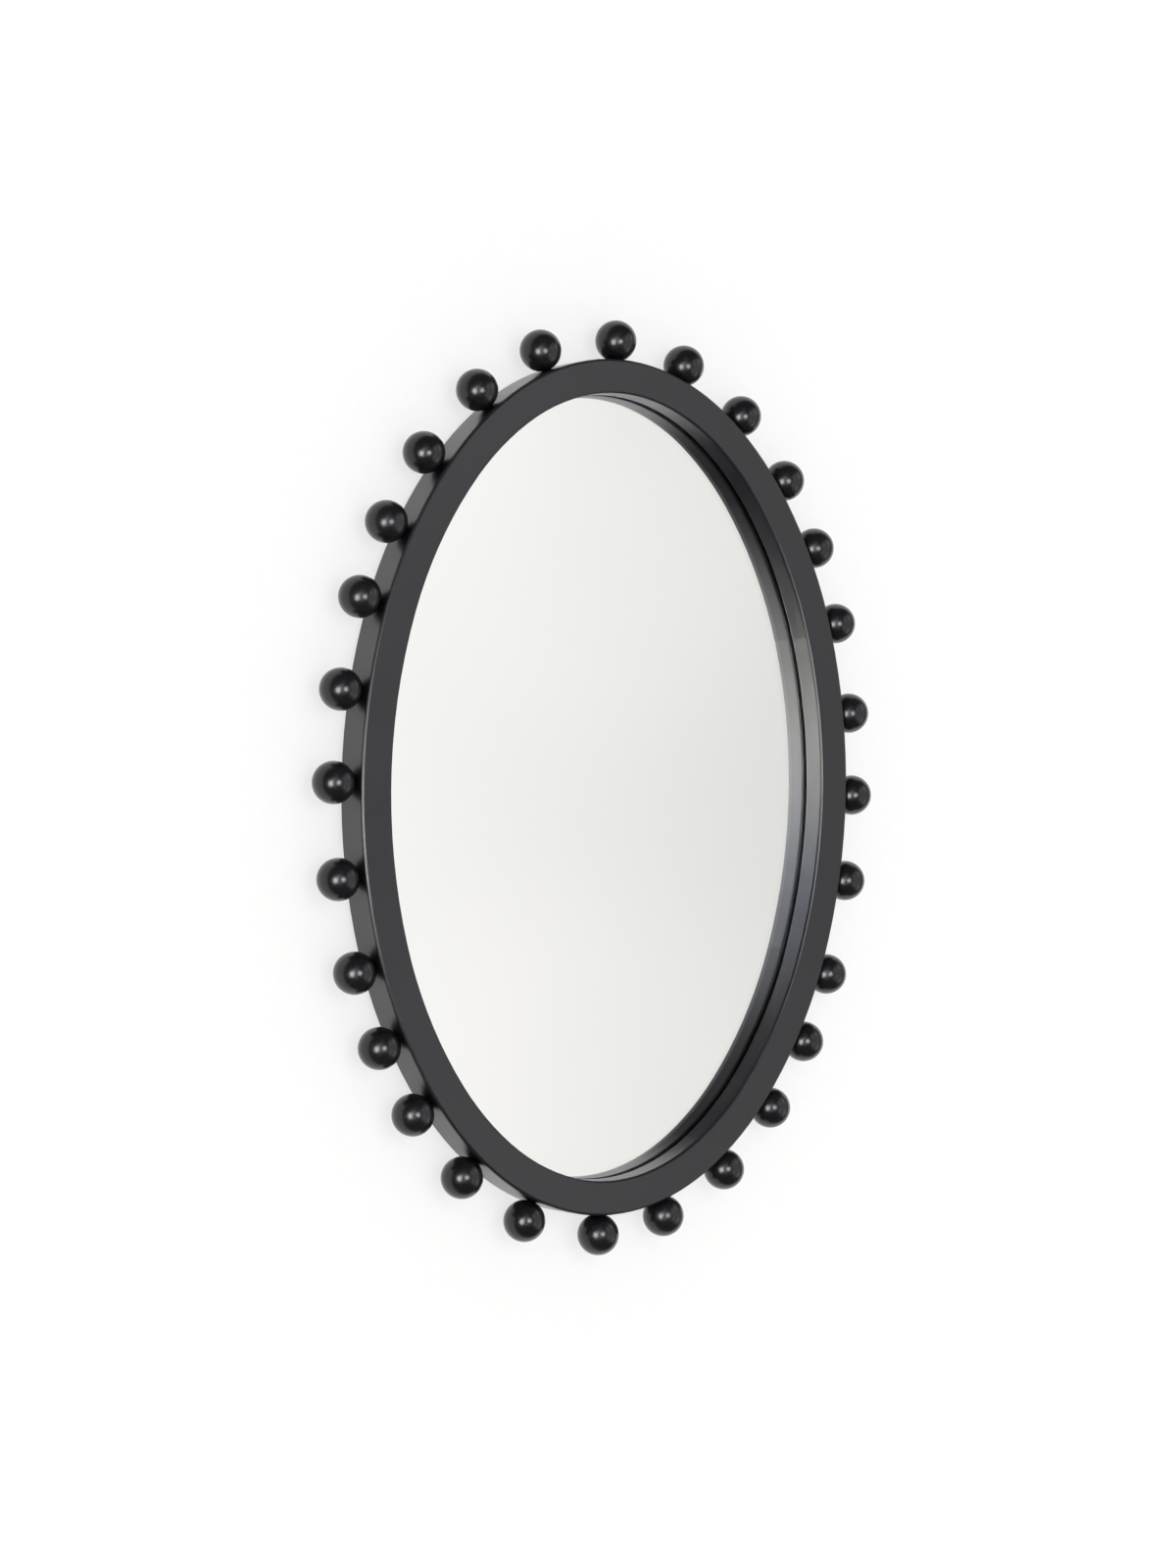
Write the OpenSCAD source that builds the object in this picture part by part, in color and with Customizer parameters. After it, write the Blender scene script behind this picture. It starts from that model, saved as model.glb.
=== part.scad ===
// Oval wall mirror with a border of turned balls.
// Two glued rings make the frame and its rebate, a row of balls stands on dowels round the edge,
// and the glass, backing board, hangers and bumpers are at the back.
// +Z is up, the face looks along -Y, and the origin is the oval's centre on the wall.

/* [Frame] */
// Height of the frame, without the balls
frame_h = 822; // [700:1:950]
// Width of the frame, without the balls
frame_w = 570; // [500:1:650]
// Width of the face, from the outer to the inner edge
face_w = 33; // [30:0.5:45]
// Thickness of the front board, whose lip the glass lies against
face_t = 25; // [22:0.5:32]
// Thickness of the rear board, round glass and backing
back_t = 12; // [11:0.5:18]
// Width of the rebate behind the lip
rebate_w = 10; // [8:0.5:12]
// Radius of the two front arrises
front_round = 3; // [1.5:0.25:4]
// Radius of the lip's rear arris, next to the glass
lip_round = 2; // [0.5:0.25:3]
// Radius of the outer arris at the back
rear_round = 1; // [0.5:0.25:2]

/* [Balls] */
// Diameter of a turned ball
ball_d = 40; // [30:0.5:45]
// Diameter of the small flat that a ball stands on
ball_flat_d = 8; // [7:0.5:12]
// Height of the ball centres above the joint between the two boards
ball_line = 7.5; // [5:0.5:12]

/* [Ball dowels] */
// Diameter of a dowel
dowel_d = 6; // [5:0.5:6]
// Length of a dowel inside the frame
dowel_in_frame = 16; // [10:0.5:22]
// Length of a dowel inside a ball
dowel_in_ball = 15; // [10:0.5:18]
// Room for glue round a dowel
dowel_glue = 0.05; // [0.02:0.01:0.1]
// Room for glue at each end of a dowel
dowel_end_gap = 0.5; // [0.3:0.1:1]

/* [Glass and backing] */
// Thickness of the mirror glass
glass_t = 5; // [3:0.5:6]
// Gap between the edge of the glass and the rebate
glass_gap = 2; // [1:0.25:3]
// Ground arris of the glass edge
glass_arris = 0.5; // [0.3:0.1:1]
// Thickness of the backing board
board_t = 3; // [2:0.5:4]
// Gap between the edge of the backing board and the rebate
board_gap = 1; // [0.5:0.25:2]

/* [Glazing points] */
// Number of glazing points
point_count = 14; // [8:2:20]
// Thickness of a glazing point
point_t = 0.6; // [0.4:0.1:1]
// Width of a glazing point
point_w = 6; // [5:0.5:9]
// Length of a glazing point driven into the rear board
point_driven = 7; // [5:0.5:9]
// Length of a glazing point over the backing board
point_over = 9; // [6:0.5:12]

/* [Strap hangers] */
// Angle of the frame's edge at a hanger, from the sides towards the top
hanger_angle = 16; // [12:1:24]
// Width of a strap
strap_w = 13; // [11:0.5:14]
// Thickness of the strap's sheet steel
strap_t = 1; // [0.8:0.1:1.2]
// Distance from the ring's hinge to the foot of the strap
strap_length = 37; // [36:0.5:45]
// Distance from the ring's hinge to the first screw
screw_first = 19; // [18.5:0.5:20]
// Distance between the two screws
screw_pitch = 12; // [9:0.5:13]

/* [Hanger screws] */
// Diameter of a screw's shank
screw_d = 3.5; // [3:0.1:3.5]
// Length of a screw under its head
screw_length = 11; // [9:0.5:11]
// Diameter of a screw's pan head
screw_head_d = 7; // [6:0.25:8]
// Height of a screw's pan head
screw_head_h = 2.2; // [1.8:0.1:2.6]
// Play between a screw's shank and its hole in the strap
screw_play = 0.3; // [0.2:0.05:0.4]
// Fit of a screw's shank in the wood
screw_fit = 0.03; // [0.02:0.01:0.05]

/* [D-rings] */
// Thickness of the ring's wire
wire_d = 2.5; // [2:0.1:2.6]
// Radius of the wire's middle line at the ring's two corners
ring_bend = 2; // [1.5:0.1:2.5]
// Straight part of the ring's sides, above the corners
ring_straight = 3; // [2:0.5:4]
// Play of the ring beside the strap's eye
ring_play = 0.15; // [0.1:0.05:0.4]
// Running clearance round the wire in the strap's eye
eye_clear = 0.1; // [0.05:0.01:0.1]

/* [Bumpers] */
// Height of a bumper, which sets the gap to the wall
bumper_h = 6; // [5.5:0.25:8]
// Diameter of a bumper's foot
bumper_d = 14; // [10:0.5:16]
// Diameter of a bumper's face on the wall
bumper_tip_d = 11; // [7:0.5:14]
// Angle of the frame's edge at a bumper, from the sides towards the top or bottom
bumper_angle = 52; // [40:1:65]

/* [Hidden] */
$fn = 144;
oval_fn = 240;
profile_fn = 48;
small_fn = 64;
// How far a cut reaches past the face that it opens: a hair where it meets another face there
eps = 0.01;
through = 1;

// Whole millimetres keep every centre below a round number
half_w = round(frame_w) / 2;
half_h = round(frame_h) / 2;

// The oval is a closed chain of arcs that meet without a kink, five radii in each quarter.
// These are the directions that the edge faces where one arc meets the next. They come from
// the 7-24-25 and 3-4-5 triangles, so that the joints are round numbers and close exactly.
meets = [[1, 0], [0.96, 0.28], [0.8, 0.6], [0.6, 0.8], [0.28, 0.96], [0, 1]];
turns = [for (m = meets) atan2(m[1], m[0])];
last = len(meets) - 2;
stretches = [for (i = [0:last]) i];
// Turn by which each arc laps over the arc before it, about a hundredth of a millimetre on the
// edge: two bodies that only touch along a face may come out as two solids
arc_lap = 0.00002;
function total(v, i = 0) = i == len(v) ? 0 : v[i] + total(v, i + 1);

// Radius of curvature of the true ellipse where its edge has turned by t, and its mean over
// one stretch by Simpson's rule
function ellipse_radius(t) =
    pow(half_w * half_h, 2) / pow(pow(half_w * cos(t), 2) + pow(half_h * sin(t), 2), 1.5);
function mean_radius(i) =
    (ellipse_radius(turns[i]) + 4 * ellipse_radius((turns[i] + turns[i + 1]) / 2)
     + ellipse_radius(turns[i + 1])) / 6;

// How much the radius drops at each joint, to half a millimetre, and how far a drop of 1 there
// makes the oval taller than wide. The first two drops take up what the ellipse's leave short.
function lead(i) = meets[i][0] + meets[i][1] - 1;
free_drops = [for (i = [1:last]) round(2 * (mean_radius(i - 1) - mean_radius(i))) / 2];
short = half_h - half_w - total([for (i = [1:last]) free_drops[i - 1] * lead(i)]);
first_extra = round(2 * short / lead(1)) / 2;
second_extra = (short - first_extra * lead(1)) / lead(2);
extras = [first_extra, second_extra];
drops = [for (i = [0:last - 1]) free_drops[i] + (i < len(extras) ? extras[i] : 0)];

// Radii of the arcs, from the side of the oval to its top, and their centres: each centre lies
// on the last line of the arc before
side_radius = half_w + total([for (i = [1:last]) drops[i - 1] * meets[i][0]]);
function radius(i) = i == 0 ? side_radius : radius(i - 1) - drops[i - 1];
function centre(i) = i == 0 ? [half_w - side_radius, 0] : centre(i - 1) + drops[i - 1] * meets[i];
radii = [for (i = stretches) radius(i)];
centres = [for (i = stretches) centre(i)];

// The stretch of the quarter that holds the turn t
function stretch_of(t, i = 0) = i == last || t <= turns[i + 1] ? i : stretch_of(t, i + 1);
// The turn within the first quarter that mirrors the direction a
function folded(a) = atan2(abs(sin(a)), abs(cos(a)));
// The point out from the edge by the given distance, where the edge faces the direction a
function oval_point(a, out = 0) =
    let (i = stretch_of(folded(a)), c = centres[i])
    [sign(cos(a)) * c[0], sign(sin(a)) * c[1]] + (radii[i] + out) * [cos(a), sin(a)];

// Arc length of one stretch, and the turn reached after a length s, out from the edge
function stretch_length(i, out) = (radii[i] + out) * (turns[i + 1] - turns[i]) * PI / 180;
function quarter_length(out) = total([for (i = stretches) stretch_length(i, out)]);
function turn_after(s, out, i = 0) =
    i == last || s <= stretch_length(i, out)
        ? turns[i] + s / (radii[i] + out) * 180 / PI
        : turn_after(s - stretch_length(i, out), out, i + 1);

// Levels above the wall
frame_back = bumper_h;
lip_back = frame_back + back_t;
frame_front = lip_back + face_t;
glass_back = lip_back - glass_t;
board_back = glass_back - board_t;
ball_level = lip_back + ball_line;

// Direction reached after a length s along the line out from the edge, from the right side upwards
function direction_after(s, out) =
    let (q = quarter_length(out), quarters = floor(s / q), quarter = quarters % 4,
         rest = s - quarters * q)
    quarter == 0 ? turn_after(rest, out) :
    quarter == 1 ? 180 - turn_after(q - rest, out) :
    quarter == 2 ? 180 + turn_after(rest, out) : 360 - turn_after(q - rest, out);

// Balls: they were set out by eye, so each gap to the next ball is its own. The gaps run clockwise
// from the top ball as the face is seen, and are stretched to the true length of the row.
ball_gaps = [84, 84, 82, 76, 80, 92, 83, 87, 97, 73, 77, 82, 85, 79,
             88, 84, 82, 73, 75, 88, 89, 86, 88, 76, 78, 86, 84, 90];
ball_count = len(ball_gaps);
ball_r = ball_d / 2;
ball_out = sqrt(pow(ball_r, 2) - pow(ball_flat_d / 2, 2));
function gaps_up_to(k) = k == 0 ? 0 : ball_gaps[k - 1] + gaps_up_to(k - 1);
// Counted back from the top, which lies one quarter and a full round past the right side
ball_turns = [for (k = [0:ball_count - 1])
    direction_after(quarter_length(ball_out) * (5 - 4 * gaps_up_to(k) / gaps_up_to(ball_count)), ball_out)];
function ball_direction(n) = ball_turns[n - 1];
function ball_name(n) = str("ball_", n < 10 ? "0" : "", n);

// Width of the swept rim of a plate, and the turn from one corner of its core to the next
plate_rim = 30;
core_turn = 15;

// The rear board's back, a band whose middle line carries the hangers and the bumpers
band_w = face_w - rebate_w;
band_middle = -band_w / 2;

dowel_bevel = 0.8;

// Hangers: the strap follows the edge with its ring pointing up. The strip curls round the bar of
// the ring until its end nearly meets the foot again, and the eye's underside clears the wood.
curl_turn = 295;
eye_lift = 0.1;
eye_r = wire_d / 2 + eye_clear;
eye_level = eye_r + strap_t + eye_lift;
ring_arm = strap_w / 2 + ring_play + ring_bend;
screw_places = [screw_first, screw_first + screw_pitch];
// Length and end of a screw's point, and the radius of its head's dome
screw_tip = 2.5;
screw_tip_d = 0.5;
screw_dome_r = 0.75 * screw_head_d;
sides = [["right", hanger_angle, 1], ["left", 180 - hanger_angle, -1]];
bumper_places = [["upper_right", bumper_angle], ["upper_left", 180 - bumper_angle],
                 ["lower_left", 180 + bumper_angle], ["lower_right", -bumper_angle]];

// Everything is drawn lying on its back, face up, and this stands it against the wall
module stand_up() rotate([90, 0, 0]) children();

// Quarters in which one stretch is drawn: the first arc spans the side and the last the top
function quarters_of(i) =
    i == 0 ? [[1, 1], [-1, 1]] :
    i == last ? [[1, 1], [1, -1]] :
    [[1, 1], [-1, 1], [-1, -1], [1, -1]];
function flipped(v, q) = [q[0] * v[0], q[1] * v[1]];
// The direction m, turned back by a hair towards the arc before
function lapped(m) = [m[0] + arc_lap * m[1], m[1] - arc_lap * m[0]];
// The two directions between which the arc of a stretch is drawn, in quarter q
function arc_sides(i, q) =
    i == 0 ? [flipped(meets[1], q), flipped(meets[1], [q[0], -q[1]])] :
    i == last ? [flipped(lapped(meets[i]), q), flipped(lapped(meets[i]), [-q[0], q[1]])] :
    [flipped(lapped(meets[i]), q), flipped(meets[i + 1], q)];

// Sweeps a profile round the oval: x is the distance out from the edge, y the level
module round_oval()
    for (i = stretches, q = quarters_of(i))
        translate(flipped(centres[i], q))
            intersection() {
                rotate_extrude($fn = oval_fn) translate([radii[i], 0]) children();
                wedge(arc_sides(i, q));
            }

// Holds everything between two directions, out to a round number past the largest arc
module wedge(sides) {
    reach = 100 * ceil(side_radius / 50);
    translate([0, 0, -reach / 2])
        linear_extrude(reach) polygon([[0, 0], reach * sides[0], reach * sides[1]]);
}

// Puts a piece where the edge faces the direction a: its x points out, its y along the edge
module at_edge(a, out, level)
    translate([oval_point(a, out)[0], oval_point(a, out)[1], level]) rotate(a) children();

// Puts a piece on the back of the frame: its y points up along the edge, its z to the wall
module on_back(a, up = 1)
    at_edge(a, band_middle, frame_back)
        mirror([0, 0, 1]) mirror([0, up < 0 ? 1 : 0, 0]) children();

// Turns a piece's z to point out from the edge
module outwards() rotate([0, 90, 0]) children();

// The bit that a rounding takes off a corner at the origin, towards the quadrant sx, sy
module corner_cut(r, sx, sy)
    mirror([sx < 0 ? 1 : 0, 0]) mirror([0, sy < 0 ? 1 : 0])
        difference() {
            translate([-eps, -eps]) square(r + eps);
            translate([r, r]) circle(r, $fn = profile_fn);
        }

module face_profile()
    difference() {
        translate([-face_w, lip_back]) square([face_w, face_t]);
        translate([-face_w, lip_back]) corner_cut(lip_round, 1, 1);
        translate([-face_w, frame_front]) corner_cut(front_round, 1, -1);
        translate([0, frame_front]) corner_cut(front_round, -1, -1);
    }

module back_profile()
    difference() {
        translate([-band_w, frame_back]) square([band_w, back_t]);
        translate([0, frame_back]) corner_cut(rear_round, -1, 1);
    }

// A plain oval plate whose edge lies out from the frame's edge by the given distance: a swept rim,
// and inside it a flat core whose many-sided outline ends in the middle of the rim
module oval_plate(out, level, t, arris = 0) {
    round_oval() translate([out - plate_rim, level]) plate_profile(plate_rim, t, arris);
    translate([0, 0, level])
        linear_extrude(t)
            polygon([for (a = [0:core_turn:360 - core_turn]) oval_point(a, out - plate_rim / 2)]);
}

module plate_profile(w, t, arris)
    polygon([[0, 0], [w - arris, 0], [w, arris], [w, t - arris], [w - arris, t], [0, t]]);

module dowel_bore(depth) cylinder(d = dowel_d + 2 * dowel_glue, h = depth + dowel_end_gap, $fn = small_fn);

module face_ring() color("#151517") stand_up() face_ring_body();
module face_ring_body()
    difference() {
        round_oval() face_profile();
        for (n = [1:ball_count])
            at_edge(ball_direction(n), eps, ball_level)
                mirror([1, 0, 0]) outwards() dowel_bore(dowel_in_frame + eps);
    }

module back_ring() color("#151517") stand_up() back_ring_body();
module back_ring_body()
    difference() {
        round_oval() back_profile();
        for (i = [1:point_count]) glazing_point(i);
        for (s = sides, u = screw_places)
            on_back(s[1], s[2])
                translate([0, -u, strap_t]) screw_shank(screw_d + 2 * screw_fit, screw_length + 2 * eps);
    }

module ball(n) color("#17171a") stand_up() at_edge(ball_direction(n), 0, ball_level) ball_body();
module ball_body()
    outwards()
        difference() {
            translate([0, 0, ball_out]) sphere(ball_r);
            translate([-ball_r, -ball_r, -ball_d]) cube(ball_d);
            translate([0, 0, -eps]) dowel_bore(dowel_in_ball + eps);
        }

module ball_dowels() color("#c9a878") stand_up()
    for (n = [1:ball_count])
        at_edge(ball_direction(n), 0, ball_level)
            translate([-dowel_in_frame, 0, 0]) outwards() dowel();
module dowel() {
    length = dowel_in_frame + dowel_in_ball;
    r = dowel_d / 2;
    rotate_extrude($fn = small_fn)
        polygon([[0, 0], [r - dowel_bevel, 0], [r, dowel_bevel], [r, length - dowel_bevel],
                 [r - dowel_bevel, length], [0, length]]);
}

module mirror_glass() color("#dfe2e2") stand_up()
    oval_plate(-band_w - glass_gap, glass_back, glass_t, glass_arris);

module backing_board() color("#7a5a3c") stand_up()
    oval_plate(-band_w - board_gap, board_back, board_t);

// A flat steel leaf, driven into the rear board by its pointed end
module glazing_point(i)
    at_edge(direction_after((i - 0.5) / point_count * 4 * quarter_length(-band_w), -band_w), -band_w,
            board_back - point_t)
        linear_extrude(point_t)
            polygon([[-point_over, -point_w / 2], [0, -point_w / 2], [point_driven, 0],
                     [0, point_w / 2], [-point_over, point_w / 2]]);
module glazing_points() color("#a9acae") stand_up() for (i = [1:point_count]) glazing_point(i);

// Folded from one strip: a flat foot with two holes, and an eye curled round the ring's bar
module hanger_strap(s) color("#b9bcbf") stand_up() on_back(s[1], s[2]) strap_body();
module strap_body()
    difference() {
        union() {
            translate([-strap_w / 2, strap_w / 2 - strap_length, 0])
                cube([strap_w, strap_length - strap_w / 2, strap_t]);
            translate([0, strap_w / 2 - strap_length, 0]) cylinder(d = strap_w, h = strap_t);
            along_bar()
                rotate(-90)
                    rotate_extrude(angle = curl_turn, $fn = small_fn)
                        translate([eye_r, -strap_w / 2]) square([strap_t, strap_w]);
        }
        along_bar() cylinder(r = eye_r, h = strap_w + 2 * through, center = true, $fn = small_fn);
        for (u = screw_places)
            translate([0, -u, -through])
                cylinder(d = screw_d + 2 * screw_play, h = strap_t + 2 * through, $fn = small_fn);
    }
// Puts a piece on the hinge of the ring, with its z along the hinge
module along_bar() translate([0, 0, eye_level]) rotate([90, 0, 90]) children();

module hanger_ring(s) color("#c3c6c9") stand_up() on_back(s[1], s[2]) ring_body();
module ring_body() {
    side_top = ring_bend + ring_straight;
    along_bar() wire(2 * (ring_arm - ring_bend), true);
    translate([0, 0, eye_level]) {
        for (m = [0, 1]) mirror([m, 0, 0]) {
            translate([ring_arm - ring_bend, ring_bend, 0]) rotate(-90) wire_bend(ring_bend, 90);
            translate([ring_arm, ring_bend, 0]) rotate([-90, 0, 0]) wire(ring_straight);
        }
        translate([0, side_top, 0]) wire_bend(ring_arm, 180);
    }
}
module wire(length, center = false) cylinder(d = wire_d, h = length, center = center, $fn = small_fn);
module wire_bend(r, angle)
    rotate_extrude(angle = angle, $fn = small_fn) translate([r, 0]) circle(d = wire_d, $fn = profile_fn);

module screw_shank(d, length)
    mirror([0, 0, 1]) {
        cylinder(d = d, h = length - screw_tip, $fn = small_fn);
        translate([0, 0, length - screw_tip])
            cylinder(d1 = d, d2 = screw_tip_d, h = screw_tip, $fn = small_fn);
    }
module pan_screw() {
    screw_shank(screw_d, screw_length);
    intersection() {
        cylinder(d = screw_head_d, h = screw_head_h, $fn = small_fn);
        translate([0, 0, screw_head_h - screw_dome_r]) sphere(screw_dome_r, $fn = small_fn);
    }
}
module hanger_screws() color("#c9ccce") stand_up()
    for (s = sides, u = screw_places) on_back(s[1], s[2]) translate([0, -u, strap_t]) pan_screw();

module bumper(b) color("#2a2a2c") stand_up()
    at_edge(b[1], band_middle, 0) cylinder(d1 = bumper_tip_d, d2 = bumper_d, h = bumper_h);

face_ring();
back_ring();
mirror_glass();
backing_board();
ball_dowels();
glazing_points();
hanger_screws();
for (s = sides) hanger_strap(s);
for (s = sides) hanger_ring(s);
for (b = bumper_places) bumper(b);
for (n = [1:ball_count]) ball(n);
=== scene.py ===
"""Oval wall mirror with a ball border: finishes, hardware, studio and camera.

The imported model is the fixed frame. Each operator finishes one piece or one group of like
pieces, and the last two set up the studio and the camera. All lengths are in metres: X to the
right, Z up, the wall behind the mirror is the plane Y = 0 and the mirror faces -Y.
"""

import math
import operator

import bmesh
import bpy
from bpy.props import FloatProperty, FloatVectorProperty, PointerProperty
from mathutils import Matrix, Vector


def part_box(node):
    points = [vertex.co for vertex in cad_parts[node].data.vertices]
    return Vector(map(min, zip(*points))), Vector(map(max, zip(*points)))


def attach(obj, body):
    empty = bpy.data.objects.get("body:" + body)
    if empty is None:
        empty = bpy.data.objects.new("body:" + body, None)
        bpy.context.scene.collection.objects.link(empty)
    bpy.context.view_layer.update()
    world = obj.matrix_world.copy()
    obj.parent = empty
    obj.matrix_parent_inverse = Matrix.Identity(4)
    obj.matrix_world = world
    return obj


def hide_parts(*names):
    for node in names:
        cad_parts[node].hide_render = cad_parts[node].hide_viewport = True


bl_info = {
    "name": "Oval wall mirror",
    "version": (1, 0, 0),
    "blender": (4, 5, 0),
    "location": "3D View > Sidebar > Mirror",
    "description": "Finishes an oval wall mirror with a ball border and sets it in a studio",
    "category": "Add Mesh",
}

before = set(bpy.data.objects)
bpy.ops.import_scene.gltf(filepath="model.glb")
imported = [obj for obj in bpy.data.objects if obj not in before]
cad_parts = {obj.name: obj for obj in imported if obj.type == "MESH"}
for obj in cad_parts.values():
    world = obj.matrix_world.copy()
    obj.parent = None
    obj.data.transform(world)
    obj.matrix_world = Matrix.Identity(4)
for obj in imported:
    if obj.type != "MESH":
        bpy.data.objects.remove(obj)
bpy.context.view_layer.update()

MILLIMETRE = 0.001

# The outer edge of the frame is a closed chain of tangent arcs, five to a quarter. On the way
# from the side to the top, the edge faces these directions, across and up, where the arcs end.
ARC_MEETINGS = ((1.0, 0.0), (0.96, 0.28), (0.8, 0.6), (0.6, 0.8), (0.28, 0.96), (0.0, 1.0))

# The boards have a polyurethane lacquer, the balls a nitrocellulose one.
BOARD_LACQUER_IOR = 1.52
BALL_LACQUER_IOR = 1.47

# Nearly all values of a noise lie between these two.
LOW = 0.3
HIGH = 0.7

# A look into the mirror meets the glass, the silver and the glass again. The world counts one
# more than an object in the same place.
LOOK_DEPTH = 3

# Directions in degrees, to either side of a wing of the cross, where a screw has its vertices.
# The last is where the next wing's own begin.
BESIDE_WING = (21, 28, 36, 45)

# Radii of the loops of a screw's head outside the cross, as shares of the head's radius.
HEAD_LOOPS = (0.75, 0.9, 1.0)
SHANK_LOOPS = 40

# The cross is deepest at its middle, by this share of its depth.
RECESS_MIDDLE = 1.1

# Half the foot of a thread's ridge, as a share of the pitch, and the blunt end of the point,
# as a share of the core's radius.
RIDGE_FOOT = 0.3
BLUNT_END = 0.15

# Long side of the camera's sensor in millimetres.
SENSOR_SIDE = 36.0


# Helpers

def linear(hex_colour):
    """sRGB hex to the linear colour that shader sockets take."""
    parts = [int(hex_colour[i:i + 2], 16) / 255 for i in (1, 3, 5)]
    return tuple(c / 12.92 if c <= 0.04045 else ((c + 0.055) / 1.055) ** 2.4
                 for c in parts) + (1.0,)


def per_metre(millimetres):
    """The noise scale that makes features about this many millimetres wide."""
    return 1 / (millimetres * MILLIMETRE)


def add_node(tree, kind, inputs=None, stops=None, **settings):
    """Adds one node with its settings, its input values or links, and its colour stops."""
    node = tree.nodes.new("ShaderNode" + kind)
    for name, value in settings.items():
        setattr(node, name, value)
    for key, value in (inputs or {}).items():
        if isinstance(value, bpy.types.NodeSocket):
            tree.links.new(value, node.inputs[key])
        else:
            node.inputs[key].default_value = value
    if stops:
        ramp = node.color_ramp
        while len(ramp.elements) < len(stops):
            ramp.elements.new(0.5)
        for element, (place, colour) in zip(ramp.elements, stops):
            element.position = place
            element.color = linear(colour) if isinstance(colour, str) else colour
    return node


def new_material(name):
    """An empty node material, with its tree and its output node."""
    made = bpy.data.materials.new(name)
    made.use_nodes = True
    made.node_tree.nodes.clear()
    return made, made.node_tree, add_node(made.node_tree, "OutputMaterial")


def finish_nodes(names, finish):
    """Gives CAD nodes a finish by their material slots."""
    for name in names:
        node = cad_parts[name]
        for index in range(len(node.material_slots)):
            node.material_slots[index].material = finish


def half_millimetres(length):
    """A length to the nearest half millimetre."""
    return round(2 * length / MILLIMETRE) * MILLIMETRE / 2


def radius_drops(half_width, half_height):
    """How much the radius of the oval's edge drops from each arc to the next: as much as the
    ellipse's own does, and the first two drops make up what the height then lacks."""
    def ellipse_radius(turn):
        reach = math.hypot(half_width * math.cos(turn), half_height * math.sin(turn))
        return (half_width * half_height) ** 2 / reach ** 3

    turns = [math.atan2(up, across) for across, up in ARC_MEETINGS]
    radii = [(ellipse_radius(a) + 4 * ellipse_radius((a + b) / 2) + ellipse_radius(b)) / 6
             for a, b in zip(turns, turns[1:])]
    drops = [half_millimetres(a - b) for a, b in zip(radii, radii[1:])]
    # A drop makes the oval this many times its own length taller than wide.
    leads = [across + up - 1 for across, up in ARC_MEETINGS[1:-1]]
    lacking = half_height - half_width - sum(map(operator.mul, drops, leads))
    first_extra = half_millimetres(lacking / leads[0])
    drops[0] += first_extra
    drops[1] += (lacking - first_extra * leads[0]) / leads[1]
    return drops


def quarter_arcs():
    """Radius, centre and last direction of each arc in a quarter of the frame's outer edge."""
    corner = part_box("face_ring")[1]
    drops = radius_drops(corner.x, corner.z)
    radius = corner.x + sum(drop * across
                            for drop, (across, up) in zip(drops, ARC_MEETINGS[1:]))
    centre = Vector((corner.x - radius, 0.0))
    arcs = []
    for drop, (across, up) in zip(drops + [0.0], ARC_MEETINGS[1:]):
        arcs.append((radius, centre, math.atan2(up, across)))
        radius -= drop
        centre = centre + drop * Vector((across, up))
    return arcs


def oval(inset, steps=24):
    """The frame's outer oval drawn inset by a distance, as (x, z) points from the bottom round
    by the right side."""
    quarter = []
    start = 0.0
    for radius, centre, end in quarter_arcs():
        for k in range(steps):
            turn = start + (end - start) * k / steps
            quarter.append((centre.x + (radius - inset) * math.cos(turn),
                            centre.y + (radius - inset) * math.sin(turn)))
        start = end
    top = (0.0, centre.y + radius - inset)
    right_half = [(x, -z) for x, z in reversed(quarter[1:])] + quarter
    return ([(0.0, -top[1])] + right_half + [top]
            + [(-x, z) for x, z in reversed(right_half)])


def new_object(name, mesh, finish, body=None):
    """Links a mesh as an object with one finish, riding on a body if one is named."""
    mesh.materials.append(finish)
    made = bpy.data.objects.new(name, mesh)
    bpy.context.scene.collection.objects.link(made)
    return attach(made, body) if body else made


def mesh_from(name, build, smooth=False):
    """A mesh that a function builds in a fresh bmesh."""
    shape = bmesh.new()
    build(shape)
    bmesh.ops.recalc_face_normals(shape, faces=shape.faces)
    for face in shape.faces:
        face.smooth = smooth
    mesh = bpy.data.meshes.new(name)
    shape.to_mesh(mesh)
    shape.free()
    return mesh


def parts_of(node):
    """Lowest and highest corner of every separate solid in a CAD node, at rest, from left to
    right."""
    shape = bmesh.new()
    shape.from_mesh(node.data)
    bmesh.ops.remove_doubles(shape, verts=shape.verts, dist=0.001 * MILLIMETRE)
    waiting = set(shape.verts)
    parts = []
    while waiting:
        part = []
        front = [waiting.pop()]
        while front:
            vert = front.pop()
            part.append(node.matrix_world @ vert.co)
            for edge in vert.link_edges:
                other = edge.other_vert(vert)
                if other in waiting:
                    waiting.remove(other)
                    front.append(other)
        parts.append([Vector(map(pick, zip(*part))) for pick in (min, max)])
    shape.free()
    return sorted(parts, key=lambda corners: corners[0].x)


def cross_reach(turn, half_length, half_width):
    """Distance from the middle of a cross to its outline, in a direction."""
    quarter = math.pi / 2
    from_wing = abs((turn + quarter / 2) % quarter - quarter / 2)
    # Straight along a wing its side is never reached, so the sine is kept off zero.
    sideways = max(math.sin(from_wing), 1e-6)
    return min(half_length / math.cos(from_wing), half_width / sideways)


def soften(name, width, segments=3, sharp=math.radians(50)):
    """Rounds the edges of a CAD node that turn by more than a sharp angle, its mesh untouched."""
    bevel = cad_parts[name].modifiers.new("soft_edges", "BEVEL")
    bevel.width = width
    bevel.segments = segments
    bevel.limit_method = "ANGLE"
    bevel.angle_limit = sharp


# Settings

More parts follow.
